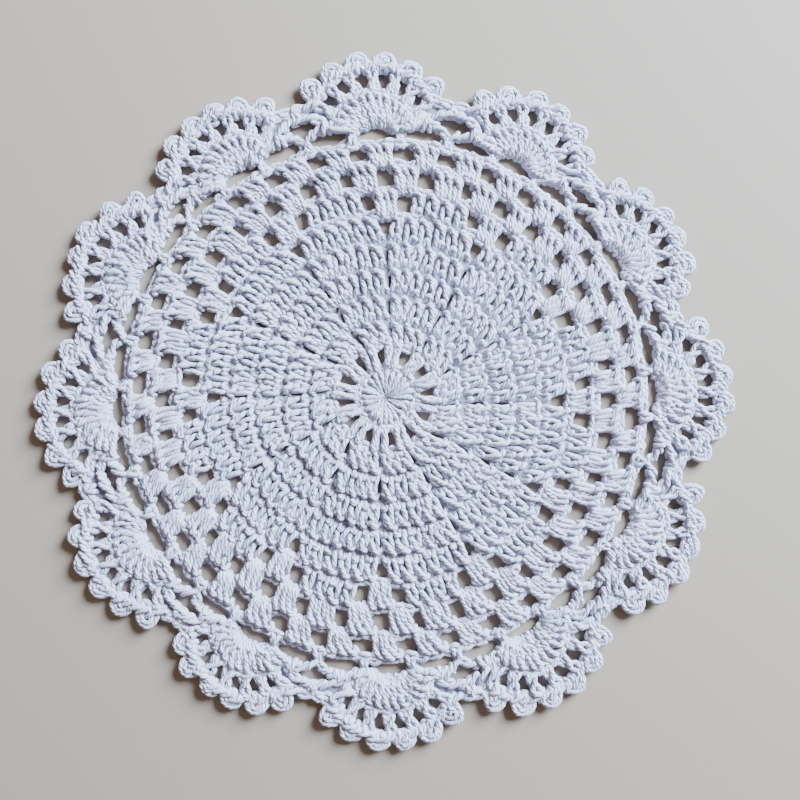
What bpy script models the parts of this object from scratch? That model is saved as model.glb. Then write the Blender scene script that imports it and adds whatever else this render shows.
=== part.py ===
"""A crocheted cotton doily, laid flat: one lace solid, worked in rounds from its centre knot.

Twelve like sectors make the round middle, and each ends in a fan that gives the edge one scallop.
The origin is the centre of the rounds, on the underside. +Z is up and +Y points at the far side.
"""

import math
from collections import namedtuple

import bmesh
import bpy
from mathutils import Vector
from mathutils.geometry import delaunay_2d_cdt

MM = 0.001

# Heights above the underside: the crown of a round, the groove between two rounds, and every cut rim.
CREST = 4.6 * MM
GROOVE = 3.3 * MM
RIM = 3.8 * MM

# The scallops, clockwise from the far side. axis_deg is a scallop's middle, crown how far its middle
# picots reach from the centre, and notch how far the valley after it does.
Scallop = namedtuple("Scallop", "axis_deg crown notch")
SCALLOPS = (
    Scallop(-2.8, 180.8 * MM, 157.4 * MM),
    Scallop(28.8, 179.2 * MM, 157.6 * MM),
    Scallop(58.8, 178.7 * MM, 157.8 * MM),
    Scallop(88.5, 181.3 * MM, 156.6 * MM),
    Scallop(118.5, 180.8 * MM, 157.8 * MM),
    Scallop(148.8, 180.3 * MM, 159.6 * MM),
    Scallop(179.0, 179.7 * MM, 156.6 * MM),
    Scallop(209.3, 177.2 * MM, 157.8 * MM),
    Scallop(238.5, 180.3 * MM, 162.4 * MM),
    Scallop(267.0, 180.6 * MM, 160.6 * MM),
    Scallop(296.5, 181.3 * MM, 157.8 * MM),
    Scallop(326.3, 178.7 * MM, 158.3 * MM),
)

# A sector's line of holes turns as the rounds grow: it starts LAG_DEG ahead of its scallop, out to
# LAG_FROM, and has come round to the scallop's middle at LAG_TO.
LAG_DEG = 3.1
LAG_FROM = 89 * MM
LAG_TO = 155 * MM

# A hole that lies in a round about the centre. offset_deg is counted from its sector's line, width
# runs along the round, and height across it.
Hole = namedtuple("Hole", "offset_deg reach width height")
ROUND_HOLES = (
    Hole(-7.2, 21.7 * MM, 5.0 * MM, 7.0 * MM),
    Hole(0.0, 89.1 * MM, 5.4 * MM, 5.2 * MM),
    Hole(-4.4, 102.6 * MM, 6.4 * MM, 7.4 * MM),
    Hole(6.1, 101.4 * MM, 8.6 * MM, 7.0 * MM),
    Hole(-9.4, 115.9 * MM, 6.4 * MM, 7.8 * MM),
    Hole(0.2, 114.6 * MM, 8.2 * MM, 7.6 * MM),
    Hole(10.8, 114.1 * MM, 8.4 * MM, 7.6 * MM),
    Hole(-5.5, 127.9 * MM, 9.2 * MM, 6.6 * MM),
    Hole(4.7, 126.7 * MM, 10.2 * MM, 7.0 * MM),
    Hole(14.7, 127.4 * MM, 9.6 * MM, 7.6 * MM),
    Hole(-10.4, 138.1 * MM, 13.0 * MM, 5.2 * MM),
    Hole(-0.1, 137.6 * MM, 15.0 * MM, 5.6 * MM),
    Hole(9.6, 138.0 * MM, 13.0 * MM, 6.6 * MM),
    Hole(15.2, 146.1 * MM, 12.6 * MM, 7.0 * MM),
)

# A fan spreads from the loop of thread at its foot, FAN_REACH out on the middle of its scallop. What
# belongs to a fan is counted from that loop, and sized for a fan whose middle picots reach FAN_TIP.
FAN_REACH = 137.3 * MM
FAN_TIP = 42.4 * MM
FanHole = namedtuple("FanHole", "angle_deg reach width height")
FAN_HOLES = (
    FanHole(-52.3, 29.6 * MM, 4.9 * MM, 6.2 * MM),
    FanHole(-32.0, 27.9 * MM, 4.9 * MM, 6.0 * MM),
    FanHole(-10.8, 27.3 * MM, 4.9 * MM, 6.0 * MM),
    FanHole(10.8, 27.3 * MM, 4.9 * MM, 6.0 * MM),
    FanHole(32.0, 27.9 * MM, 4.9 * MM, 6.0 * MM),
    FanHole(52.3, 29.6 * MM, 4.9 * MM, 6.2 * MM),
)
Picot = namedtuple("Picot", "angle_deg tip dip_after_deg dip_after")
PICOTS = (
    Picot(-53.4, 45.2 * MM, -43.3, 40.8 * MM),
    Picot(-32.8, 43.3 * MM, -20.6, 39.3 * MM),
    Picot(-10.8, 42.3 * MM, 0.0, 38.7 * MM),
    Picot(10.8, 42.3 * MM, 20.6, 39.3 * MM),
    Picot(32.8, 43.3 * MM, 43.3, 40.8 * MM),
    Picot(53.4, 45.2 * MM, 61.6, 41.6 * MM),
)
FIRST_DIP_DEG = -PICOTS[-1].dip_after_deg
PICOT_TIP_HALF_DEG = 4.3
PICOT_SIDE_HALF_DEG = 7.2
PICOT_SHOULDER = 1.6 * MM
PICOT_CROWN = 3.4 * MM
HOLE_CORNERS = 6

# The points that raise the top stand on lines: circles about the centre, and arcs about each fan's
# loop. step is the way from one point to the next, and none stands nearer than CLEAR to a hole.
Line = namedtuple("Line", "reach height step")
ROUND_LINES = (
    Line(6.5 * MM, CREST, 6.8 * MM),
    Line(14.0 * MM, GROOVE, 6.5 * MM),
    Line(27.2 * MM, GROOVE, 7.5 * MM),
    Line(33.8 * MM, CREST, 8.5 * MM),
    Line(40.3 * MM, GROOVE, 8.5 * MM),
    Line(46.8 * MM, CREST, 9.0 * MM),
    Line(53.4 * MM, GROOVE, 9.0 * MM),
    Line(60.1 * MM, CREST, 9.0 * MM),
    Line(66.8 * MM, GROOVE, 9.0 * MM),
    Line(73.5 * MM, CREST, 9.0 * MM),
    Line(80.3 * MM, GROOVE, 9.0 * MM),
    Line(87.0 * MM, CREST, 9.0 * MM),
    Line(94.6 * MM, GROOVE, 9.0 * MM),
    Line(101.6 * MM, CREST, 8.0 * MM),
    Line(108.0 * MM, GROOVE, 9.0 * MM),
    Line(114.8 * MM, CREST, 8.0 * MM),
    Line(121.3 * MM, GROOVE, 9.0 * MM),
    Line(127.6 * MM, CREST, 8.0 * MM),
    Line(133.2 * MM, GROOVE, 9.0 * MM),
)
FAN_LINES = (
    Line(7.5 * MM, CREST, 5.0 * MM),
    Line(14.5 * MM, CREST, 6.0 * MM),
    Line(21.0 * MM, GROOVE, 6.0 * MM),
    Line(34.4 * MM, CREST, 6.0 * MM),
)
FAN_LINE_HALF_DEG = 56.0
CLEAR = 1.3 * MM


def polar(reach, clock_deg):
    """The point this far from the centre, its angle counted clockwise from +Y."""
    turn = math.radians(clock_deg)
    return Vector((reach * math.sin(turn), reach * math.cos(turn)))


def sector_line(scallop, reach):
    """The clock angle of a sector's line of holes, at this distance from the centre."""
    share = (reach - LAG_FROM) / (LAG_TO - LAG_FROM)
    return scallop.axis_deg + LAG_DEG * (1 - min(max(share, 0), 1))


def fan_point(scallop, reach, angle_deg):
    """A point counted from the loop of this scallop's fan, grown or shrunk to the scallop's crown."""
    growth = (scallop.crown - FAN_REACH) / FAN_TIP
    loop = polar(FAN_REACH, scallop.axis_deg)
    return loop + polar(reach * growth, scallop.axis_deg + angle_deg)


def placed_holes():
    """(middle, clock angle of its height, width, height) of every hole."""
    placed = []
    for scallop in SCALLOPS:
        for hole in ROUND_HOLES:
            clock_deg = sector_line(scallop, hole.reach) + hole.offset_deg
            placed.append((polar(hole.reach, clock_deg), clock_deg, hole.width, hole.height))
        for hole in FAN_HOLES:
            middle = fan_point(scallop, hole.reach, hole.angle_deg)
            placed.append((middle, scallop.axis_deg + hole.angle_deg, hole.width, hole.height))
    return placed


def hole_loop(middle, clock_deg, width, height):
    """The corners of one hole, on an ellipse."""
    up, side = polar(height / 2, clock_deg), polar(width / 2, clock_deg + 90)
    turns = [math.tau * (i + 0.5) / HOLE_CORNERS for i in range(HOLE_CORNERS)]
    return [middle + up * math.cos(turn) + side * math.sin(turn) for turn in turns]


def scallop_edge(scallop):
    """One scallop's edge, from its first dip to its last, with a picot between each two."""
    points = [fan_point(scallop, PICOTS[-1].dip_after, FIRST_DIP_DEG)]
    for picot in PICOTS:
        shoulder = picot.tip - PICOT_SHOULDER
        points.append(fan_point(scallop, shoulder, picot.angle_deg - PICOT_SIDE_HALF_DEG))
        points.append(fan_point(scallop, picot.tip, picot.angle_deg - PICOT_TIP_HALF_DEG))
        points.append(fan_point(scallop, picot.tip, picot.angle_deg + PICOT_TIP_HALF_DEG))
        points.append(fan_point(scallop, shoulder, picot.angle_deg + PICOT_SIDE_HALF_DEG))
        points.append(fan_point(scallop, picot.dip_after, picot.dip_after_deg))
    return points


def outline():
    """The whole edge, clockwise from above, with a notch after each scallop."""
    points = []
    for scallop, following in zip(SCALLOPS, SCALLOPS[1:] + SCALLOPS[:1]):
        points += scallop_edge(scallop)
        gap_deg = (following.axis_deg - scallop.axis_deg) % 360
        points.append(polar(scallop.notch, scallop.axis_deg + gap_deg / 2))
    return points


def clear_of_holes(point, holes):
    """Whether the point stands outside every hole's ellipse, grown by CLEAR."""
    for middle, clock_deg, width, height in holes:
        away = point - middle
        along = away.dot(polar(1, clock_deg)) / (height / 2 + CLEAR)
        across = away.dot(polar(1, clock_deg + 90)) / (width / 2 + CLEAR)
        if along * along + across * across < 1:
            return False
    return True


def relief_points(holes):
    """(point, height) of all that raises or lowers the top inside its edges."""
    wanted = [(Vector((0, 0)), CREST)]
    for line in ROUND_LINES:
        count = round(math.tau * line.reach / line.step)
        wanted += [(polar(line.reach, 360 * i / count), line.height) for i in range(count)]
    for scallop in SCALLOPS:
        for line in FAN_LINES:
            count = round(2 * math.radians(FAN_LINE_HALF_DEG) * line.reach / line.step)
            for i in range(count + 1):
                angle_deg = FAN_LINE_HALF_DEG * (2 * i / count - 1)
                wanted.append((fan_point(scallop, line.reach, angle_deg), line.height))
        for picot in PICOTS:
            crown = fan_point(scallop, picot.tip - PICOT_CROWN, picot.angle_deg)
            wanted.append((crown, CREST))
    return [(point, height) for point, height in wanted if clear_of_holes(point, holes)]


def triangulated(loops, inner_points):
    """Triangles between the outline, loops[0], and the holes, as indices into all the points."""
    points = [point for loop in loops for point in loop] + inner_points
    edges, start = [], 0
    for loop in loops:
        edges += [(start + i, start + (i + 1) % len(loop)) for i in range(len(loop))]
        start += len(loop)
    inside_constraints = 1
    _, _, triangles, sources, _, _ = delaunay_2d_cdt(
        points, edges, [], inside_constraints, 1e-7
    )
    triangles = [[sources[corner][0] for corner in triangle] for triangle in triangles]
    first_hole, last_hole = len(loops[0]), start

    def fills_a_hole(triangle):
        """A triangle fills a hole if its three corners stand on that one hole's loop."""
        on_holes = all(first_hole <= corner < last_hole for corner in triangle)
        return on_holes and len({(corner - first_hole) // HOLE_CORNERS for corner in triangle}) == 1

    return [triangle for triangle in triangles if not fills_a_hole(triangle)]


def lace_mesh():
    """The lace as one closed body: raised top, flat underside, and a wall round each edge."""
    holes = placed_holes()
    loops = [outline()] + [hole_loop(*hole) for hole in holes]
    relief = relief_points(holes)
    rims = [point for loop in loops for point in loop]

    shape = bmesh.new()
    top = [shape.verts.new((point.x, point.y, RIM)) for point in rims]
    top += [shape.verts.new((point.x, point.y, height)) for point, height in relief]
    bottom = [shape.verts.new((point.x, point.y, 0)) for point in rims]
    for triangle in triangulated(loops, [point for point, _ in relief]):
        shape.faces.new([top[corner] for corner in triangle])
    for triangle in triangulated(loops, []):
        shape.faces.new([bottom[corner] for corner in triangle])
    start = 0
    for loop in loops:
        for i in range(len(loop)):
            a, b = start + i, start + (i + 1) % len(loop)
            shape.faces.new((top[a], top[b], bottom[b], bottom[a]))
        start += len(loop)
    bmesh.ops.recalc_face_normals(shape, faces=shape.faces)

    mesh = bpy.data.meshes.new("doily")
    shape.to_mesh(mesh)
    shape.free()
    mesh.shade_smooth()
    mesh.set_sharp_from_angle(angle=math.radians(50))
    return mesh


def cotton():
    """White cotton string with a cool cast."""
    material = bpy.data.materials.new("white_cotton")
    material.use_nodes = True
    surface = material.node_tree.nodes["Principled BSDF"]
    surface.inputs["Base Color"].default_value = (0.78, 0.79, 0.85, 1)
    surface.inputs["Roughness"].default_value = 0.9
    surface.inputs["Metallic"].default_value = 0
    return material


def main():
    for thing in list(bpy.data.objects):
        bpy.data.objects.remove(thing)
    collection = bpy.data.collections.new("Lace doily")
    bpy.context.scene.collection.children.link(collection)
    doily = bpy.data.objects.new("doily", lace_mesh())
    doily.data.materials.append(cotton())
    collection.objects.link(doily)


main()
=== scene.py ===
"""A crocheted cotton doily on a plain floor, worked stitch by stitch in real cotton yarn.

Each round of the doily is one closed length of yarn, led through its stitches as a hook would lead it.
A thin web of matted fibres fills the middle of the cloth between the yarns. Its colour is the cotton's,
darkened as painted shade, so that where it shows between the yarns it reads as deep shadow.
"""

import math
from collections import namedtuple

import bpy
import numpy as np
from mathutils import Matrix, Vector, noise
from mathutils.geometry import delaunay_2d_cdt


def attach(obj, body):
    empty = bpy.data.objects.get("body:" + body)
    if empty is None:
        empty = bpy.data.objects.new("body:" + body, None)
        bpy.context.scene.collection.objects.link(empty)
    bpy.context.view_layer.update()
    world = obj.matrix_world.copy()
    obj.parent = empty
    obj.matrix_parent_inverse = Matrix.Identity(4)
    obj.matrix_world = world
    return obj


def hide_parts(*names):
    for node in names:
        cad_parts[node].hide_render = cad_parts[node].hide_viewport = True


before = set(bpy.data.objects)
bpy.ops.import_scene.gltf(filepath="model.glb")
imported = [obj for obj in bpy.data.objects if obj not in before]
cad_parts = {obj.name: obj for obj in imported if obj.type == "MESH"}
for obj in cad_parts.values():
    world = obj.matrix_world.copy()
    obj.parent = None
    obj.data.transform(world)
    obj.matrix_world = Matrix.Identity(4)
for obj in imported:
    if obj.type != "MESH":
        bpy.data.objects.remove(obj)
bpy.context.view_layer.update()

bl_info = {
    "name": "Lace doily",
    "version": (1, 0, 0),
    "blender": (4, 5, 0),
    "location": "3D Viewport > Sidebar > Doily",
    "description": "Crochets a round lace doily from its rounds of cotton yarn",
    "category": "Object",
}

MM = 0.001

# ---------------------------------------------------------------------------------------------
# The pattern. Lengths are in millimetres, and angles in degrees, clockwise from the far side.
# ---------------------------------------------------------------------------------------------

# A scallop's middle, how far its middle picots reach, and how far the valley after it does.
Scallop = namedtuple("Scallop", "axis_deg crown notch")
SCALLOPS = (
    Scallop(-2.8, 180.8, 157.4),
    Scallop(28.8, 179.2, 157.6),
    Scallop(58.8, 178.7, 157.8),
    Scallop(88.5, 181.3, 156.6),
    Scallop(118.5, 180.8, 157.8),
    Scallop(148.8, 180.3, 159.6),
    Scallop(179.0, 179.7, 156.6),
    Scallop(209.3, 177.2, 157.8),
    Scallop(238.5, 180.3, 162.4),
    Scallop(267.0, 180.6, 160.6),
    Scallop(296.5, 181.3, 157.8),
    Scallop(326.3, 178.7, 158.3),
)
SECTORS = len(SCALLOPS)
SECTOR_DEG = 30

# A sector's line starts LAG_DEG ahead of its scallop, and has come round to its middle at LAG_TO.
LAG_DEG = 3.1
LAG_FROM = 89.0
LAG_TO = 155.0

# A fan is counted from the loop at its foot, for a fan whose middle picots reach FAN_TIP.
FAN_REACH = 137.3
FAN_TIP = 42.4

# The rounds' edges, each as far from the centre as the heads of its stitches.
RING = 0.8
FIRST = 15.0
SECOND = 27.2
CLOSE = (39.6, 53.7, 67.5, 80.8)
FIRST_SLIT_DEG = 7.8
SLIT_DEG = (2.5, 1.8, 0.8, 0.2)
SLIT_WIDTH = 3.4
SEVENTH = 94.6
EIGHTH = 108.0
NINTH = 121.3
TENTH = 132.6
ARCH = 138.6
VALLEY_ARCH = 147.2
# The fans' rounds, counted from the loop, and where the valley between two scallops is.
CROWN = 21.2
SPOKE = 33.2
EDGE = 34.8
VALLEY_DEG = 15.1

# The cloth drifts a little in slow waves, DRIFT_LENGTH long and up to about DRIFT in X, Y and Z. The noise
# behind them needs a seed, or it starts from the clock.
NOISE_SEED = 1
DRIFT_LENGTH = 16
DRIFT = (1.1, 1.1, 0.8)
# A point is kept on the yarn each time that it has turned or gone this far.
TURN_LIMIT_DEG = 28
LENGTH_LIMIT = 3.0

# The holes that the rounds leave, (offset from the sector's line, reach, width, height), and the
# holes of a fan, counted from its loop.
ROUND_HOLES = (
    (-7.2, 21.7, 5.0, 7.0),
    (0.0, 89.1, 5.4, 5.2),
    (-4.4, 102.6, 6.4, 7.4),
    (6.1, 101.4, 8.6, 7.0),
    (-9.4, 115.9, 6.4, 7.8),
    (0.2, 114.6, 8.2, 7.6),
    (10.8, 114.1, 8.4, 7.6),
    (-5.5, 127.9, 9.2, 6.6),
    (4.7, 126.7, 10.2, 7.0),
    (14.7, 127.4, 9.6, 7.6),
    (-10.4, 138.1, 13.0, 5.2),
    (-0.1, 137.6, 15.0, 5.6),
    (9.6, 138.0, 13.0, 6.6),
    (15.2, 146.1, 12.6, 7.0),
)
FAN_HOLES = (
    (-52.3, 29.6, 4.9, 6.2),
    (-32.0, 27.9, 4.9, 6.0),
    (-10.8, 27.3, 4.9, 6.0),
    (10.8, 27.3, 4.9, 6.0),
    (32.0, 27.9, 4.9, 6.0),
    (52.3, 29.6, 4.9, 6.2),
)
SPOKES_DEG = (-63.0, -42.0, -21.4, 0.0, 21.4, 42.0, 63.0)
PICOTS = ((-53.4, 45.2), (-32.8, 43.3), (-10.8, 42.3), (10.8, 42.3), (32.8, 43.3), (53.4, 45.2))

# A stitch: its kind, where its foot and its head are, and how wide each is along the round.
Stitch = namedtuple("Stitch", "kind foot foot_width head head_width")

# The way of the yarn through one stitch, as (across, up, height): across in stitch widths, up from
# foot to head, and height above the cloth's middle in millimetres.
TREBLE = (
    # The cap: out from behind at the upper left, over the front down to the right, and away.
    (-0.66, 0.82, -0.6), (-0.60, 0.89, 0.5), (-0.47, 0.91, 1.5), (-0.33, 0.87, 1.9),
    (-0.20, 0.80, 1.9), (-0.10, 0.72, 1.7), (-0.02, 0.64, 1.5), (0.07, 0.56, 1.4),
    (0.16, 0.49, 1.0), (0.22, 0.41, 0.4), (0.24, 0.30, -0.5), (0.30, 0.16, -1.1),
    # A short loop in the head below.
    (0.38, 0.03, -1.2), (0.38, 0.12, 0.0), (0.30, 0.21, 0.9), (0.16, 0.26, 1.0),
    (0.05, 0.22, 0.7), (0.00, 0.09, -0.4), (-0.10, -0.02, -1.4), (-0.24, -0.03, -1.4),
    # The left leg, up in front and away under the cap.
    (-0.32, 0.04, -0.9), (-0.32, 0.15, 0.5), (-0.33, 0.28, 1.2), (-0.36, 0.42, 1.1),
    (-0.39, 0.56, 0.8), (-0.42, 0.69, 0.2), (-0.32, 0.73, -0.9), (-0.06, 0.62, -0.9),
    # The last loop, close by the cap on its right.
    (0.12, 0.56, -0.4), (0.19, 0.64, 0.0), (0.18, 0.73, 0.4), (0.08, 0.80, 0.7),
    (-0.04, 0.81, 0.3), (-0.10, 0.76, -0.8), (0.06, 0.70, -1.3),
)
DOUBLE = (
    (-0.20, 0.60, -1.3), (-0.40, 0.10, -1.4), (-0.46, -0.12, -0.3), (-0.38, 0.12, 1.1),
    (-0.22, 0.50, 1.4), (-0.06, 0.80, 0.9), (0.06, 0.82, 0.4), (0.20, 0.50, 1.1),
    (0.30, 0.12, 1.2), (0.32, -0.12, 0.0), (0.26, 0.25, -1.4), (0.10, 0.70, -1.2),
)
# A long treble: over the head, down the front to the left, under the foot, up the middle and behind
# to the head's left, and a short loop at the lower right.
POST = (
    (-0.52, 0.96, 0.0), (-0.30, 1.02, 0.9), (0.02, 1.02, 1.4), (0.28, 0.94, 1.4), (0.36, 0.80, 1.3),
    (0.26, 0.64, 1.3), (0.02, 0.48, 1.6), (-0.22, 0.32, 1.5), (-0.34, 0.16, 0.9),
    (-0.26, 0.02, -0.2), (-0.04, -0.06, -1.0), (0.05, 0.04, -0.2), (0.02, 0.16, 0.7),
    (0.06, 0.32, 0.8), (-0.10, 0.52, 0.4), (-0.28, 0.68, 0.9), (-0.32, 0.84, 1.0),
    (-0.16, 0.94, 0.2), (0.06, 0.84, -0.9), (0.28, 0.60, -0.9), (0.36, 0.44, 0.0),
    (0.37, 0.28, 0.8), (0.34, 0.12, 0.6), (0.20, 0.00, -0.4), (0.08, 0.30, -1.2), (0.36, 0.84, -1.2),
)
# A treble of a shell, its two strands side by side from a narrow foot, and a small loop by its cap.
SHELL = (
    (-0.66, 0.72, -0.6), (-0.62, 0.83, 0.6), (-0.48, 0.90, 1.6), (-0.26, 0.88, 2.1), (-0.04, 0.78, 2.1),
    (0.12, 0.66, 1.7), (0.24, 0.54, 1.2), (0.28, 0.38, 1.0), (0.26, 0.20, 1.2), (0.24, 0.04, 1.2),
    (0.18, -0.10, -0.2), (0.00, -0.14, -1.3), (-0.20, -0.10, -0.4), (-0.27, 0.02, 1.1),
    (-0.28, 0.20, 1.3), (-0.28, 0.38, 1.1), (-0.33, 0.54, 0.5), (-0.22, 0.64, -0.6),
    (0.06, 0.60, -1.0), (0.32, 0.66, -0.3), (0.42, 0.76, 0.7), (0.32, 0.86, 1.1), (0.14, 0.88, 0.3),
    (0.10, 0.78, -1.2),
)
# A strand of the middle: in under the ring, between its fellows, and out again over it.
PETAL = (
    (-0.50, 0.86, -0.8), (-0.50, 0.60, -0.2), (-0.50, 0.30, -0.2), (-0.30, 0.06, -0.6),
    (0.00, 0.07, 0.3), (0.02, 0.20, 0.8), (0.06, 0.45, 1.2), (-0.04, 0.66, 1.5),
    (0.02, 0.80, 1.0), (0.04, 0.86, -0.3),
)
# A picot, as (across, out, height) in millimetres, for one that stands PICOT_RISE high: an arc out and
# over to the right, a smaller one back inside it, and on along the edge.
PICOT_RISE = 6.4
PICOT = (
    (-4.2, 0.6, -0.9), (-5.0, 1.2, 0.0), (-4.6, 2.9, 0.6), (-3.0, 4.9, 0.8), (0.1, 6.0, 0.8),
    (3.2, 5.0, 0.8), (4.8, 3.0, 0.6), (5.1, 1.4, 0.0), (4.0, 0.6, -0.8),
    (2.8, 0.9, 0.0), (2.7, 2.6, 0.8), (1.2, 4.1, 1.3), (-1.0, 4.0, 1.3), (-2.4, 2.4, 0.9),
    (-2.4, 0.6, -0.1), (-1.2, 0.2, -0.6), (-0.4, 1.5, 0.5), (0.3, 2.3, 0.9), (1.0, 1.1, 0.0),
    (3.0, -0.4, -1.2),
)
# The loop over a head, which reaches back to the stitch before, as (along, out, height): along in
# steps between heads, out in millimetres. A chain's lies open. One under a fan and one at the rim of
# trebles lie low, so that the feet of the next round cover them. A cord's leans over its fellows.
HEAD_LOOP = (
    (0.05, -0.2, -0.8), (-0.20, -0.9, 0.1), (-0.60, -1.1, 0.5), (-0.98, -0.7, 0.4),
    (-1.18, 0.3, 0.2), (-0.98, 1.3, 0.4), (-0.60, 1.7, 0.4), (-0.20, 1.4, 0.0),
    (0.05, 0.6, -0.9),
)
UNDER_LOOP = (
    (-0.50, -0.6, -1.3), (-1.00, -1.0, -0.8), (-1.14, -0.6, -0.3), (-0.80, 0.2, 0.0), (-0.40, 0.8, 0.0),
    (0.10, 1.0, -0.3), (0.30, 0.8, -0.9),
)
RIM_LOOP = (
    (0.10, -0.4, -1.2), (0.12, 0.7, -0.8), (-0.15, 1.2, -0.5), (-0.50, 1.4, -0.4), (-0.85, 1.2, -0.5),
    (-1.05, 0.5, -0.9), (-0.75, -0.6, -1.3), (-0.30, -0.8, -1.3),
)
CORD_LOOP = (
    (-0.50, -1.0, -1.1), (-1.00, -1.9, -0.5), (-1.14, -1.7, 0.6), (-0.86, -1.0, 1.2),
    (-0.50, -0.1, 1.5), (-0.14, 0.8, 1.5), (0.20, 1.7, 1.1), (0.36, 2.2, 0.2), (0.20, 1.6, -0.9),
)
WAYS = {
    "treble": TREBLE,
    "panel": TREBLE,
    "shell": SHELL,
    "crown": TREBLE,
    "post": POST,
    "petal": PETAL,
    "double": DOUBLE,
    "edge": DOUBLE,
}
# Each kind's loop, and how wide it is.
LOOPS = {
    "chain": (HEAD_LOOP, 1.0),
    "panel": (RIM_LOOP, 1.0),
    "shell": (RIM_LOOP, 1.0),
    "petal": (HEAD_LOOP, 0.7),
    "crown": (HEAD_LOOP, 0.9),
    "double": (HEAD_LOOP, 1.0),
    "cord": (CORD_LOOP, 0.7),
    "under": (UNDER_LOOP, 1.0),
    "edge": (CORD_LOOP, 1.0),
}


def polar(reach, clock_deg):
    """The point this far from the centre, its angle counted clockwise from +Y."""
    turn = math.radians(clock_deg)
    return np.array((reach * math.sin(turn), reach * math.cos(turn)))


def around(sector, offset_deg, reach):
    """The point of a round, counted from a sector's line. A sector is SECTOR_DEG of offset."""
    whole, share = divmod(sector + offset_deg / SECTOR_DEG, 1)
    turns, index = divmod(int(whole), SECTORS)
    here = SCALLOPS[index].axis_deg + 360 * turns
    following = (index + 1) % SECTORS
    there = SCALLOPS[following].axis_deg + 360 * (turns + (following == 0))
    lag = LAG_DEG * (1 - min(max((reach - LAG_FROM) / (LAG_TO - LAG_FROM), 0), 1))
    return polar(reach, here + share * (there - here) + lag)


def fan_point(sector, reach, angle_deg):
    """A point counted from the loop of this sector's fan, grown or shrunk to its scallop's crown."""
    scallop = SCALLOPS[sector]
    growth = (scallop.crown - FAN_REACH) / FAN_TIP
    return polar(FAN_REACH, scallop.axis_deg) + polar(reach * growth, scallop.axis_deg + angle_deg)


def spread(middle, step, count):
    """Offsets this step apart about a middle."""
    return [middle + step * (i - (count - 1) / 2) for i in range(count)]


def gap_of(a, b):
    """How far apart two points are."""
    return float(np.linalg.norm(b - a))


def chains(start, end, count, rise=0.0, kind="chain"):
    """Chain stitches in an even row from one head to another, bowed outwards by rise."""
    out = (start + end) / np.linalg.norm(start + end)
    made = []
    for i in range(1, count + 1):
        share = i / (count + 1)
        place = start + (end - start) * share + out * rise * math.sin(math.pi * share)
        made.append(Stitch(kind, place, 0, place, 0))
    return made


def first_round():
    """A closed ring of trebles that all meet in the middle, two strands to a sector."""
    made = []
    for i in range(2 * SECTORS):
        foot, head = polar((RING, 2.6)[i % 2], 15 * i + 12), polar(FIRST, 15 * i)
        made.append(Stitch("petal", foot, RING, head, math.tau * FIRST / (2 * SECTORS)))
    return made


def second_round():
    """Two long trebles a sector, and two chains between."""
    made = []
    for sector in range(SECTORS):
        for foot_deg, head_deg in ((2.6, 2.6), (13.4, 12.4)):
            foot, head = around(sector, foot_deg, FIRST - 0.6), around(sector, head_deg, SECOND)
            made.append(Stitch("post", foot, 2.4, head, 2.6))
        made += chains(made[-1].head, around(sector + 1, 2.6, SECOND), 2, 0.4)
    return made


def close_round(which):
    """One of the four close rounds: three trebles a sector in the first, and one more in each."""
    count, reach, slit = 3 + which, CLOSE[which], SLIT_DEG[which]
    slit_deg = math.degrees(SLIT_WIDTH / reach)
    step = (SECTOR_DEG - slit_deg) / count
    width = math.radians(step) * reach
    made = []
    for sector in range(SECTORS):
        for i in range(count):
            head = around(sector, slit + slit_deg / 2 + step * (i + 0.5) - SECTOR_DEG, reach)
            if which == 0:
                offset = spread(-7.2, 8.4, count)[i]
                foot = around(sector, offset, SECOND - 0.4)
                made.append(Stitch("treble", foot, 5.0, head, width))
                continue
            under = SECTOR_DEG / (count - 1)
            below = CLOSE[which - 1]
            shared = i < 2
            offset = SLIT_DEG[which - 1] + under * (max(i - 1, 0) + 0.5) - SECTOR_DEG
            offset += (-0.2 * under, 0.24 * under, 0)[i if shared else 2]
            foot_width = math.radians(under) * below * (0.5 if shared else 0.92)
            made.append(Stitch("treble", around(sector, offset, below), foot_width, head, width))
    return made


def run(sector, offsets, reach, feet, below, foot_width, kind="panel"):
    """Trebles with their heads at these offsets of a round, and their feet at those of another."""
    width = gap_of(around(sector, offsets[0], reach), around(sector, offsets[1], reach))
    return [
        Stitch(kind, around(sector, foot, below), foot_width, around(sector, head, reach), width)
        for head, foot in zip(offsets, feet)
    ]


def joined(groups, bridges):
    """Groups of trebles in order, with that many chains after each, all round the doily."""
    made = []
    for i, group in enumerate(groups):
        following = groups[(i + 1) % len(groups)]
        made += group
        made += chains(group[-1].head, following[0].head, bridges[i % len(bridges)])
    return made


def seventh_round():
    """Six trebles and two chains a sector."""
    groups = []
    for sector in range(SECTORS):
        heads = spread(15.05, 4.2, 6)
        feet = spread(15.2, 5.0, 6)
        groups.append(run(sector, heads, SEVENTH, feet, CLOSE[3], 6.4))
    return joined(groups, (2,))


def eighth_round():
    """A shell of three in each chain space, and four trebles between."""
    groups = []
    for sector in range(SECTORS):
        shell = spread(0.55, 2.1, 3)
        panel = spread(16.15, 3.83, 4)
        feet = spread(15.05, 4.38, 4)
        groups.append(run(sector, shell, EIGHTH, spread(0.2, 1.9, 3), SEVENTH - 0.2, 3.4, "shell"))
        groups.append(run(sector, panel, EIGHTH, feet, SEVENTH, 6.3))
    return joined(groups, (2, 2))


def ninth_round():
    """Two shells, and three trebles between."""
    groups = []
    for sector in range(SECTORS):
        groups.append(
            run(sector, spread(-4.83, 2.1, 3), NINTH, spread(-4.4, 1.65, 3), EIGHTH - 0.2, 3.4, "shell")
        )
        groups.append(
            run(sector, spread(5.48, 2.15, 3), NINTH, spread(6.1, 1.65, 3), EIGHTH - 0.2, 3.4, "shell")
        )
        groups.append(
            run(sector, spread(15.95, 2.1, 3), NINTH, spread(16.2, 2.2, 3), EIGHTH, 4.2, "shell")
        )
    return joined(groups, (2, 2, 2))


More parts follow.
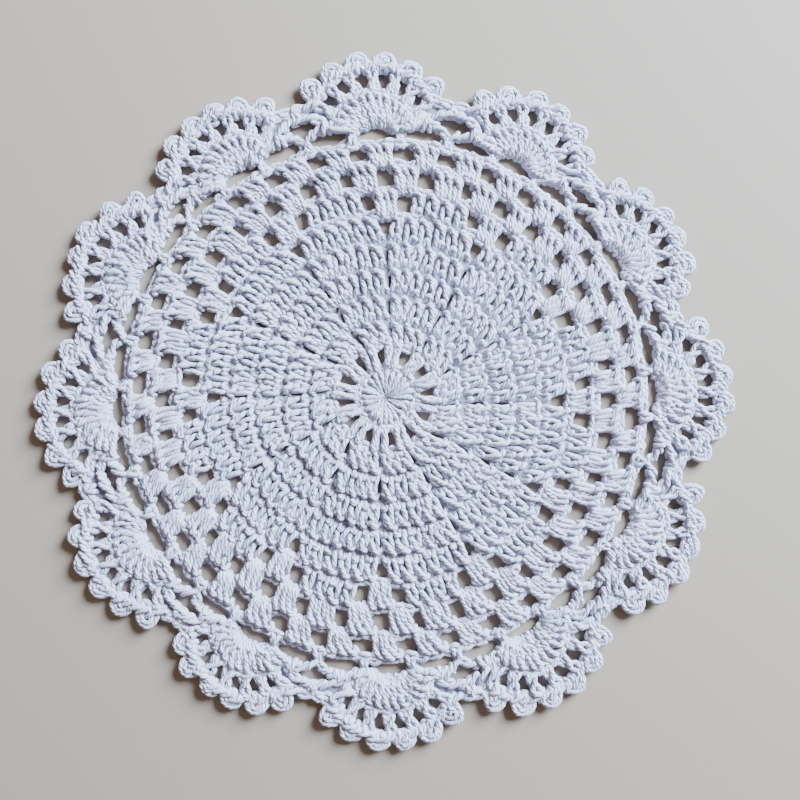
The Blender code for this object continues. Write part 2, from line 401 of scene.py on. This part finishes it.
def tenth_round():
    """A shell of three in each space."""
    groups = []
    for sector in range(SECTORS):
        for head, foot in ((-10.4, -9.4), (-0.5, 0.2), (9.8, 10.8)):
            heads, feet = spread(head, 2.0, 3), spread(foot, 1.5, 3)
            groups.append(run(sector, heads, TENTH, feet, NINTH - 0.2, 3.4, "shell"))
    return joined(groups, (2, 2, 2))


def arch_round():
    """A double in each space, and arches of five chains between, one of them a fan's loop."""
    made = []
    for sector in range(SECTORS):
        spots = (-5.5, 4.7, 14.7, 24.5)
        for here, there, kind in zip(spots, spots[1:], ("under", "cord", "cord")):
            foot, head = around(sector, here, TENTH - 0.4), around(sector, here, ARCH)
            made.append(Stitch("double", foot, 4.4, head, 5.0))
            made += chains(head, around(sector, there, ARCH), 5, 5.8, kind)
    return made


def fan_round():
    """Thirteen trebles in each fan's loop, a double in the arches beside it, and a valley arch."""
    made = []
    for sector in range(SECTORS):
        loop = polar(FAN_REACH, SCALLOPS[sector].axis_deg)
        for angle in spread(0, 13.6, 13):
            along = polar(1, SCALLOPS[sector].axis_deg)
            aside = polar(1, SCALLOPS[sector].axis_deg + 90)
            turn = math.radians(angle)
            foot = loop + aside * 8.9 * math.sin(turn) + along * (3.8 * math.cos(turn) + 0.9)
            made.append(Stitch("crown", foot, 2.2, fan_point(sector, CROWN, angle), 4.8))
        near, far = around(sector, 10.4, VALLEY_ARCH), around(sector, 19.9, VALLEY_ARCH)
        made.append(Stitch("double", around(sector, 10.2, 141.6), 4.2, near, 5.0))
        made += chains(near, far, 4, 3.6, "cord")
        made.append(Stitch("double", around(sector, 19.9, 141.6), 4.2, far, 5.0))
    return made


def spoke_round():
    """Seven trebles on each fan with a chain space between, and a double on each valley arch."""
    made = []
    for sector in range(SECTORS):
        heads = [fan_point(sector, SPOKE, angle) for angle in SPOKES_DEG]
        for i, angle in enumerate(SPOKES_DEG):
            made.append(Stitch("post", fan_point(sector, CROWN + 0.2, angle + 5), 6.4, heads[i], 5.4))
            if i + 1 < len(SPOKES_DEG):
                made += chains(heads[i], heads[i + 1], 2, 0.6)
        following = (sector + 1) % SECTORS
        notch = SCALLOPS[sector].notch
        valley = around(sector, VALLEY_DEG, notch - 3.6)
        made += chains(heads[-1], valley, 1)
        made.append(Stitch("double", around(sector, VALLEY_DEG, notch - 7.4), 4.2, valley, 4.6))
        made += chains(valley, fan_point(following, SPOKE, SPOKES_DEG[0]), 1)
    return made


def edge_round():
    """Doubles all round, and six picots on each scallop."""
    made = []

    def double(sector, angle):
        foot, head = fan_point(sector, 32.8, angle + 1.5), fan_point(sector, EDGE, angle)
        return Stitch("edge", foot, 4.2, head, 4.6)

    for sector in range(SECTORS):
        for angle, tip in PICOTS:
            made += [double(sector, angle - 7.0), double(sector, angle)]
            foot, head = fan_point(sector, tip - 1.2, angle), fan_point(sector, EDGE, angle + 0.5)
            made.append(Stitch("picot", foot, 0, head, 0))
            made.append(double(sector, angle + 7.0))
        notch = SCALLOPS[sector].notch
        valley = around(sector, VALLEY_DEG, notch - 2.2)
        made += chains(made[-1].head, valley, 1)
        made.append(Stitch("double", around(sector, VALLEY_DEG, notch - 6.6), 3.8, valley, 4.6))
        following = (sector + 1) % SECTORS
        angle = PICOTS[0][0] - 7.0
        made += chains(valley, fan_point(following, EDGE, angle), 1)
    return made


# ---------------------------------------------------------------------------------------------
# The yarn
# ---------------------------------------------------------------------------------------------


def along_round(place):
    """The unit way along a round, clockwise, at this place."""
    out = place / np.linalg.norm(place)
    return np.array((out[1], -out[0]))


def head_sides(stitches):
    """For each stitch the unit way that faces out of its row of heads."""
    heads = np.array([stitch.head for stitch in stitches])
    way = np.roll(heads, -1, axis=0) - np.roll(heads, 1, axis=0)
    way /= np.linalg.norm(way, axis=1)[:, None]
    return np.stack((-way[:, 1], way[:, 0]), axis=1)


def yarn_way(stitches, middle, uneven, seed):
    """The points that the yarn of one round is led through."""
    chance = np.random.default_rng(seed)
    # Without a seed the noise starts from the clock, and the cloth would differ on each run.
    noise.seed_set(NOISE_SEED)
    sides = head_sides(stitches)
    points = []

    def lead(flat, height, puff, wild):
        drift = noise.noise_vector(Vector((flat[0] / DRIFT_LENGTH, flat[1] / DRIFT_LENGTH, seed)))
        stray = chance.normal(0, uneven * wild * 0.6, 3) + np.array(drift) * DRIFT
        points.append((flat[0] + stray[0], flat[1] + stray[1], middle + height * puff + stray[2]))

    for i, stitch in enumerate(stitches):
        wild = 1.2 if stitch.kind == "petal" else 1
        shift = chance.normal(0, uneven * wild, 2)
        foot_shift = chance.normal(0, uneven * 0.6, 2)
        puff = 1 + chance.normal(0, 0.2)
        side = sides[i]
        way = np.array((side[1], -side[0]))
        head = stitch.head + shift
        if stitch.kind in WAYS:
            foot = stitch.foot + foot_shift
            up_way = (head - foot) / np.linalg.norm(head - foot)
            foot_way = np.array((up_way[1], -up_way[0])) + along_round(stitch.foot + 1e-9)
            foot_way /= np.linalg.norm(foot_way)
            for across, up, height in WAYS[stitch.kind]:
                low = foot + foot_way * across * stitch.foot_width
                high = head + way * across * stitch.head_width
                lead(low + (high - low) * up, height, puff, wild)
        if stitch.kind == "picot":
            out = stitch.foot - stitch.head
            rise = np.linalg.norm(out)
            out, stretch = out / rise, rise / PICOT_RISE
            aside = np.array((out[1], -out[0]))
            for across, up, height in PICOT:
                lead(head + aside * across + out * up * stretch, height, puff, wild)
        if stitch.kind in LOOPS:
            step = stitch.head - stitches[i - 1].head
            loop, wide = LOOPS[stitch.kind]
            for along, out, height in loop:
                lead(head + step * along + side * out * wide, height, puff, wild)
    return np.array(points)


def smooth_way(points, turn_limit, length_limit):
    """A smooth closed way through the points, with more points where it bends."""
    p0, p1 = np.roll(points, 1, axis=0), points
    p2, p3 = np.roll(points, -1, axis=0), np.roll(points, -2, axis=0)

    def knot(start, a, b):
        return start + np.maximum(np.linalg.norm(b - a, axis=1), 1e-6) ** 0.5

    t0 = np.zeros(len(points))
    t1 = knot(t0, p0, p1)
    t2 = knot(t1, p1, p2)
    t3 = knot(t2, p2, p3)

    def between(a, b, ta, tb, t):
        share = ((t - ta) / (tb - ta))[:, None]
        return a * (1 - share) + b * share

    steps = []
    for share in np.arange(8) / 8:
        t = t1 + (t2 - t1) * share
        a1, a2, a3 = between(p0, p1, t0, t1, t), between(p1, p2, t1, t2, t), between(p2, p3, t2, t3, t)
        b1, b2 = between(a1, a2, t0, t2, t), between(a2, a3, t1, t3, t)
        steps.append(between(b1, b2, t1, t2, t))
    fine = np.stack(steps, axis=1).reshape(-1, 3)
    leg = np.roll(fine, -1, axis=0) - fine
    length = np.linalg.norm(leg, axis=1)
    leg /= np.maximum(length, 1e-9)[:, None]
    bend = np.arccos(np.clip((leg * np.roll(leg, 1, axis=0)).sum(axis=1), -1, 1))
    keep, turned, gone = [0], 0.0, 0.0
    for i in range(1, len(fine)):
        gone += length[i - 1]
        turned += bend[i]
        if turned >= turn_limit or gone >= length_limit:
            keep.append(i)
            turned, gone = 0.0, 0.0
    return fine[keep]


def yarn_piece(name, stitches, seed, settings, material, lift=0.0):
    """One round as a closed tube of yarn, its UV map in metres along the yarn and turns round it."""
    points = yarn_way(stitches, settings.middle_height / MM + lift, settings.unevenness / MM, seed)
    line = smooth_way(points, math.radians(TURN_LIMIT_DEG), LENGTH_LIMIT)
    thick = 1 + np.convolve(
        np.random.default_rng(seed).normal(0, 0.16, len(line)), np.ones(5) / 5, "same"
    )
    thick *= np.minimum(0.30 + 0.062 * np.hypot(line[:, 0], line[:, 1]), 1)
    radius = settings.yarn_thickness / 2 / MM
    line[:, 2] = np.maximum(line[:, 2], radius * thick)
    curve = bpy.data.curves.new(name, "CURVE")
    curve.dimensions = "3D"
    curve.twist_mode = "MINIMUM"
    curve.bevel_depth = settings.yarn_thickness / 2
    curve.bevel_resolution = 1
    spline = curve.splines.new("POLY")
    spline.points.add(len(line) - 1)
    placed = np.ones((len(line), 4))
    placed[:, :3] = line * MM
    spline.points.foreach_set("co", placed.ravel())
    spline.points.foreach_set("radius", thick)
    spline.use_cyclic_u = True
    piece = bpy.data.objects.new(name, curve)
    bpy.context.scene.collection.objects.link(piece)
    bpy.ops.object.select_all(action="DESELECT")
    piece.select_set(True)
    bpy.context.view_layer.objects.active = piece
    bpy.ops.object.convert(target="MESH")
    piece = bpy.context.view_layer.objects.active
    piece.name = name
    mesh = piece.data
    mesh.name = name
    mesh.materials.clear()
    mesh.materials.append(material)
    bpy.ops.object.shade_smooth()

    legs = np.linalg.norm(np.roll(line, -1, axis=0) - line, axis=1) * MM
    metres = np.concatenate(([0], np.cumsum(legs)))
    layer = mesh.uv_layers.active or mesh.uv_layers.new(name="UVMap")
    uv = np.empty(len(mesh.loops) * 2)
    layer.data.foreach_get("uv", uv)
    uv = uv.reshape(-1, 2)
    ring = np.clip(np.rint(uv[:, 0] * len(line)).astype(int), 0, len(line))
    uv[:, 0] = metres[ring]
    layer.data.foreach_set("uv", uv.ravel())

    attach(piece, "root")
    return piece


# ---------------------------------------------------------------------------------------------
# Materials
# ---------------------------------------------------------------------------------------------


def fibre_group():
    """Cotton fibres: a colour that varies a little over the cloth, and a fine height."""
    group = bpy.data.node_groups.get("cotton_fibres")
    if group:
        return group
    group = bpy.data.node_groups.new("cotton_fibres", "ShaderNodeTree")
    face = group.interface
    face.new_socket("Cool", in_out="INPUT", socket_type="NodeSocketColor")
    face.new_socket("Warm", in_out="INPUT", socket_type="NodeSocketColor")
    face.new_socket("Fibres per metre", in_out="INPUT", socket_type="NodeSocketFloat")
    face.new_socket("Colour", in_out="OUTPUT", socket_type="NodeSocketColor")
    face.new_socket("Height", in_out="OUTPUT", socket_type="NodeSocketFloat")
    nodes, links = group.nodes, group.links
    given, out = nodes.new("NodeGroupInput"), nodes.new("NodeGroupOutput")
    place = nodes.new("ShaderNodeTexCoord")
    cast = nodes.new("ShaderNodeTexNoise")
    cast.inputs["Scale"].default_value = 40
    cast.inputs["Detail"].default_value = 3
    links.new(place.outputs["Object"], cast.inputs["Vector"])
    mix = nodes.new("ShaderNodeMix")
    mix.data_type = "RGBA"
    spread_out = nodes.new("ShaderNodeMapRange")
    spread_out.inputs["From Min"].default_value = 0.3
    spread_out.inputs["From Max"].default_value = 0.7
    links.new(cast.outputs["Fac"], spread_out.inputs["Value"])
    links.new(spread_out.outputs["Result"], mix.inputs["Factor"])
    links.new(given.outputs["Cool"], mix.inputs["A"])
    links.new(given.outputs["Warm"], mix.inputs["B"])
    links.new(mix.outputs["Result"], out.inputs["Colour"])
    fluff = nodes.new("ShaderNodeTexNoise")
    fluff.inputs["Detail"].default_value = 3
    links.new(place.outputs["Object"], fluff.inputs["Vector"])
    links.new(given.outputs["Fibres per metre"], fluff.inputs["Scale"])
    links.new(fluff.outputs["Fac"], out.inputs["Height"])
    return group


def cotton_material(name, cool, warm, plied, settings):
    """White cotton with a soft sheen. Plied yarn shows its twist along the yarn's own UV map."""
    material = bpy.data.materials.new(name)
    material.use_nodes = True
    nodes, links = material.node_tree.nodes, material.node_tree.links
    surface = nodes["Principled BSDF"]
    surface.inputs["Roughness"].default_value = 0.85
    surface.inputs["Specular IOR Level"].default_value = 0.25
    surface.inputs["Sheen Weight"].default_value = 0.15
    surface.inputs["Sheen Roughness"].default_value = 0.5
    fibres = nodes.new("ShaderNodeGroup")
    fibres.node_tree = fibre_group()
    fibres.inputs["Cool"].default_value = (*cool, 1)
    fibres.inputs["Warm"].default_value = (*warm, 1)
    fibres.inputs["Fibres per metre"].default_value = 2600
    links.new(fibres.outputs["Colour"], surface.inputs["Base Color"])
    fluff = nodes.new("ShaderNodeBump")
    fluff.inputs["Strength"].default_value = 0.35
    fluff.inputs["Distance"].default_value = 0.0002
    links.new(fibres.outputs["Height"], fluff.inputs["Height"])
    if not plied:
        links.new(fluff.outputs["Normal"], surface.inputs["Normal"])
        return material
    own = nodes.new("ShaderNodeUVMap")
    own.uv_map = "UVMap"
    parts = nodes.new("ShaderNodeSeparateXYZ")
    links.new(own.outputs["UV"], parts.inputs["Vector"])
    along = nodes.new("ShaderNodeMath")
    along.operation = "MULTIPLY"
    along.inputs[1].default_value = 1 / settings.ply_turn
    links.new(parts.outputs["X"], along.inputs[0])
    round_it = nodes.new("ShaderNodeMath")
    round_it.operation = "MULTIPLY_ADD"
    round_it.inputs[1].default_value = settings.plies
    links.new(parts.outputs["Y"], round_it.inputs[0])
    links.new(along.outputs["Value"], round_it.inputs[2])
    phase = nodes.new("ShaderNodeMath")
    phase.operation = "MULTIPLY"
    phase.inputs[1].default_value = math.pi
    links.new(round_it.outputs["Value"], phase.inputs[0])
    wave = nodes.new("ShaderNodeMath")
    wave.operation = "SINE"
    links.new(phase.outputs["Value"], wave.inputs[0])
    ply = nodes.new("ShaderNodeMath")
    ply.operation = "ABSOLUTE"
    links.new(wave.outputs["Value"], ply.inputs[0])
    twist = nodes.new("ShaderNodeBump")
    twist.inputs["Strength"].default_value = 0.9
    twist.inputs["Distance"].default_value = 0.0004
    links.new(ply.outputs["Value"], twist.inputs["Height"])
    links.new(fluff.outputs["Normal"], twist.inputs["Normal"])
    links.new(twist.outputs["Normal"], surface.inputs["Normal"])
    return material


def yarn_material(settings):
    """The plied yarn's material, made once for all the rounds."""
    made = bpy.data.materials.get("plied_cotton")
    return made or cotton_material(
        "plied_cotton", settings.cotton_cool, settings.cotton_warm, True, settings
    )


# ---------------------------------------------------------------------------------------------
# Properties, operators and panel
# ---------------------------------------------------------------------------------------------


class DoilyYarn(bpy.types.PropertyGroup):
    """The cotton that the doily is made of."""

    yarn_thickness: bpy.props.FloatProperty(
        name="Yarn thickness", description="Width of the yarn where nothing squeezes it",
        default=0.0028, min=0.001, max=0.004, subtype="DISTANCE", unit="LENGTH",
    )
    middle_height: bpy.props.FloatProperty(
        name="Middle height", description="How high the middle of the cloth lies above the floor",
        default=0.0027, subtype="DISTANCE", unit="LENGTH",
    )
    web_height: bpy.props.FloatProperty(
        name="Web height", description="How high the web of matted fibres lies",
        default=0.0023, subtype="DISTANCE", unit="LENGTH",
    )
    # The web's colour is the cotton's times this share: painted shade, so that the web reads as deep
    # shadow between the yarns.
    web_painted_shade: bpy.props.FloatProperty(
        name="Web painted shade", description="How much of the cotton's light the web gives back",
        default=0.46, min=0, max=1,
    )
    unevenness: bpy.props.FloatProperty(
        name="Unevenness", description="How far a stitch strays from its place",
        default=0.00038, min=0, subtype="DISTANCE", unit="LENGTH",
    )
    plies: bpy.props.IntProperty(
        name="Plies", description="Number of strands twisted into the yarn", default=4, min=2,
    )
    ply_turn: bpy.props.FloatProperty(
        name="Ply step", description="How far along the yarn one strand follows another",
        default=0.0026, min=0.0005, subtype="DISTANCE", unit="LENGTH",
    )
    cotton_cool: bpy.props.FloatVectorProperty(
        name="Cotton", description="The white of the cotton", subtype="COLOR",
        default=(0.463, 0.453, 0.55), min=0, max=1,
    )
    cotton_warm: bpy.props.FloatVectorProperty(
        name="Warm cast", description="The white where the cotton is a little warmer",
        subtype="COLOR", default=(0.543, 0.526, 0.618), min=0, max=1,
    )


class DoilyStage(bpy.types.PropertyGroup):
    """The floor, the light and the view."""

    floor_colour: bpy.props.FloatVectorProperty(
        name="Floor", description="Colour of the floor", subtype="COLOR",
        default=(0.30, 0.235, 0.175), min=0, max=1,
    )
    view_distance: bpy.props.FloatProperty(
        name="View distance", description="How far the camera is from the doily's middle",
        default=0.415, subtype="DISTANCE", unit="LENGTH",
    )
    view_tilt: bpy.props.FloatProperty(
        name="View tilt", description="How far the camera leans from straight above",
        default=math.radians(2.35), subtype="ANGLE", unit="ROTATION",
    )


def inside(points, loop):
    """Which points lie in this loop, whose corners go round clockwise."""
    within = np.ones(len(points), dtype=bool)
    for a, b in zip(loop, np.roll(loop, -1, axis=0)):
        edge, away = b - a, points - a
        within &= edge[0] * away[:, 1] - edge[1] * away[:, 0] <= 0
    return within


def web_outline():
    """The web's edge, just inside the rope of the doily's edge."""
    points = []
    for sector in range(SECTORS):
        for angle, tip in PICOTS:
            # The web reaches into each picot, so that its painted shade fills the picot's middle.
            points += [fan_point(sector, 35.4, angle - 8), fan_point(sector, tip - 4.0, angle - 3)]
            points += [fan_point(sector, tip - 4.0, angle + 3), fan_point(sector, 35.4, angle + 8)]
        points.append(around(sector, VALLEY_DEG, SCALLOPS[sector].notch - 4.0))
    return points


def web_holes():
    """The corners of each hole in the web, a little wider than the lace's own holes."""
    wider, corners = 2.3, 8
    loops = []

    def ellipse(middle, clock_deg, width, height):
        up, side = polar(height / 2 + wider, clock_deg), polar(width / 2 + wider, clock_deg + 90)
        turns = [math.tau * (i + 0.5) / corners for i in range(corners)]
        loops.append([middle + up * math.cos(t) + side * math.sin(t) for t in turns])

    for sector in range(SECTORS):
        axis = SCALLOPS[sector].axis_deg
        for offset, reach, width, height in ROUND_HOLES:
            middle = around(sector, offset, reach)
            clock_deg = math.degrees(math.atan2(middle[0], middle[1]))
            spare = 2.0 if reach > TENTH else -0.8
            ellipse(middle, clock_deg, width + spare, height - 0.8)
        for angle, reach, width, height in FAN_HOLES:
            ellipse(fan_point(sector, reach, angle), axis + angle, width - 0.8, height - 0.8)
        ends = list(zip((FIRST_SLIT_DEG,) + SLIT_DEG, (SECOND,) + CLOSE))
        for (low_deg, low), (high_deg, high) in zip(ends, ends[1:]):
            start, end = around(sector, low_deg, low + 2.4), around(sector, high_deg, high - 0.8)
            way = (end - start) / gap_of(start, end)
            side = np.array((way[1], -way[0])) * 0.75
            loops.append([start - side, end - side, end + side, start + side])
    return loops


class DOILY_OT_web(bpy.types.Operator):
    """Lay the thin web of matted fibres in the middle of the cloth, its colour darkened as painted shade
    """

    bl_idname = "doily.web"
    bl_label = "Web"

    def execute(self, context):
        settings = context.scene.doily_yarn
        holes = web_holes()
        loops = [web_outline()] + holes
        points = [Vector(point) for loop in loops for point in loop]
        edges, start = [], 0
        for loop in loops:
            edges += [(start + i, start + (i + 1) % len(loop)) for i in range(len(loop))]
            start += len(loop)
        flat, _, faces, _, _, _ = delaunay_2d_cdt(points, edges, [], 1, 1e-7)
        corners = np.array([[flat[corner][:] for corner in face] for face in faces])
        middles = corners.mean(axis=1)
        open_faces = np.zeros(len(faces), dtype=bool)
        for hole in holes:
            open_faces |= inside(middles, np.array(hole))
        kept = [face for face, is_open in zip(faces, open_faces) if not is_open]
        z = settings.web_height
        mesh = bpy.data.meshes.new("doily_web")
        mesh.from_pydata([(p[0] * MM, p[1] * MM, z) for p in flat], [], kept)
        # The web's cotton is darkened by this share as painted shade, for the deep shadow seen between the
        # yarns.
        shade = settings.web_painted_shade
        cool, warm = [[part * shade for part in c] for c in (settings.cotton_cool, settings.cotton_warm)]
        mesh.materials.append(cotton_material("matted_cotton_painted_shade", cool, warm, False, settings))
        web = bpy.data.objects.new("doily_web", mesh)
        context.scene.collection.objects.link(web)
        bpy.ops.object.select_all(action="DESELECT")
        web.select_set(True)
        context.view_layer.objects.active = web
        wall = web.modifiers.new("thickness", "SOLIDIFY")
        wall.thickness = 0.0006
        wall.offset = 0
        bpy.ops.object.modifier_apply(modifier=wall.name)
        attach(web, "root")
        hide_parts("doily")
        return {"FINISHED"}


class DOILY_OT_middle(bpy.types.Operator):
    """Crochet the ring of trebles and the ring of holes round it"""

    bl_idname = "doily.middle"
    bl_label = "Middle"

    def execute(self, context):
        settings = context.scene.doily_yarn
        yarn_piece("yarn_round_1", first_round(), 11, settings, yarn_material(settings))
        yarn_piece("yarn_round_2", second_round(), 12, settings, yarn_material(settings))
        return {"FINISHED"}


class DOILY_OT_close_rounds(bpy.types.Operator):
    """Crochet the four close rounds"""

    bl_idname = "doily.close_rounds"
    bl_label = "Close rounds"

    def execute(self, context):
        settings = context.scene.doily_yarn
        for which in range(len(CLOSE)):
            name = f"yarn_round_{which + 3}"
            yarn_piece(name, close_round(which), 13 + which, settings, yarn_material(settings))
        return {"FINISHED"}


class DOILY_OT_lace_rounds(bpy.types.Operator):
    """Crochet the four lace rounds of trebles, shells and holes"""

    bl_idname = "doily.lace_rounds"
    bl_label = "Lace rounds"

    def execute(self, context):
        settings = context.scene.doily_yarn
        for number, pattern in enumerate((seventh_round, eighth_round, ninth_round, tenth_round), 7):
            name = f"yarn_round_{number}"
            yarn_piece(name, pattern(), 10 + number, settings, yarn_material(settings))
        return {"FINISHED"}


class DOILY_OT_fans(bpy.types.Operator):
    """Crochet the arches, the fans and their spokes"""

    bl_idname = "doily.fans"
    bl_label = "Fans"

    def execute(self, context):
        settings = context.scene.doily_yarn
        rounds = ((arch_round, -0.5), (fan_round, 0.4), (spoke_round, 0.0))
        for number, (pattern, lift) in enumerate(rounds, 11):
            name = f"yarn_round_{number}"
            yarn_piece(name, pattern(), 10 + number, settings, yarn_material(settings), lift)
        return {"FINISHED"}


class DOILY_OT_edging(bpy.types.Operator):
    """Crochet the edge and its picots"""

    bl_idname = "doily.edging"
    bl_label = "Edging"

    def execute(self, context):
        settings = context.scene.doily_yarn
        yarn_piece("yarn_round_14", edge_round(), 24, settings, yarn_material(settings), 0.5)
        return {"FINISHED"}


class DOILY_OT_stage(bpy.types.Operator):
    """Set out the floor, the soft lights and the camera"""

    bl_idname = "doily.stage"
    bl_label = "Stage"

    def execute(self, context):
        settings = context.scene.doily_stage
        bpy.ops.object.select_all(action="DESELECT")
        bpy.ops.mesh.primitive_plane_add(size=6, location=(0, 0, 0))
        floor = context.active_object
        floor.name = "floor"
        paint = bpy.data.materials.new("plain_floor")
        paint.use_nodes = True
        surface = paint.node_tree.nodes["Principled BSDF"]
        surface.inputs["Base Color"].default_value = (*settings.floor_colour, 1)
        surface.inputs["Roughness"].default_value = 0.8
        surface.inputs["Specular IOR Level"].default_value = 0.2
        floor.data.materials.append(paint)

        world = bpy.data.worlds.new("soft_room")
        context.scene.world = world
        world.use_nodes = True
        sky = world.node_tree.nodes["Background"]
        sky.inputs["Color"].default_value = (1.0, 0.865, 0.83, 1)
        sky.inputs["Strength"].default_value = 0.378

        bpy.ops.object.light_add(type="AREA", location=(1.1, 0.92, 0.85))
        window = context.active_object
        window.name = "window_light"
        window.data.shape = "DISK"
        window.data.size = 1.0
        window.data.energy = 260
        window.data.color = (0.60, 0.77, 1.0)
        window.rotation_euler = (-window.location).to_track_quat("-Z", "Y").to_euler()

        tilt, distance = settings.view_tilt, settings.view_distance
        eye = Vector((0, -math.sin(tilt), math.cos(tilt))) * distance
        bpy.ops.object.camera_add(location=eye)
        camera = context.active_object
        camera.name = "view_from_above"
        camera.data.lens = 36.1
        camera.data.sensor_width = 36
        camera.data.clip_start = 0.01
        aim = Vector((13.7, -2.2, 0)) * (distance / 802)
        back = (eye - aim).normalized()
        right = Vector((0, 1, 0)).cross(back).normalized()
        axes = Matrix((right, back.cross(right), back)).transposed()
        camera.rotation_euler = axes.to_euler()
        context.scene.camera = camera
        return {"FINISHED"}


class DOILY_PT_panel(bpy.types.Panel):
    """The doily's pieces, in the order that they are made"""

    bl_idname = "DOILY_PT_panel"
    bl_label = "Lace doily"
    bl_space_type = "VIEW_3D"
    bl_region_type = "UI"
    bl_category = "Doily"

    def draw(self, context):
        for settings in (context.scene.doily_yarn, context.scene.doily_stage):
            for name in settings.__annotations__:
                self.layout.prop(settings, name)
        for operator in OPERATORS:
            self.layout.operator(operator.bl_idname)


GROUPS = (DoilyYarn, DoilyStage)
OPERATORS = (
    DOILY_OT_web,
    DOILY_OT_middle,
    DOILY_OT_close_rounds,
    DOILY_OT_lace_rounds,
    DOILY_OT_fans,
    DOILY_OT_edging,
    DOILY_OT_stage,
)


def register():
    """Add the settings, the operators and the panel to Blender."""
    for kind in GROUPS + OPERATORS + (DOILY_PT_panel,):
        bpy.utils.register_class(kind)
    bpy.types.Scene.doily_yarn = bpy.props.PointerProperty(type=DoilyYarn)
    bpy.types.Scene.doily_stage = bpy.props.PointerProperty(type=DoilyStage)


def unregister():
    """Take them away again."""
    del bpy.types.Scene.doily_stage
    del bpy.types.Scene.doily_yarn
    for kind in reversed(GROUPS + OPERATORS + (DOILY_PT_panel,)):
        bpy.utils.unregister_class(kind)


def main():
    """Make the doily and its stage."""
    register()
    bpy.ops.doily.web()
    bpy.ops.doily.middle()
    bpy.ops.doily.close_rounds()
    bpy.ops.doily.lace_rounds()
    bpy.ops.doily.fans()
    bpy.ops.doily.edging()
    bpy.ops.doily.stage()


if __name__ == "__main__":
    main()
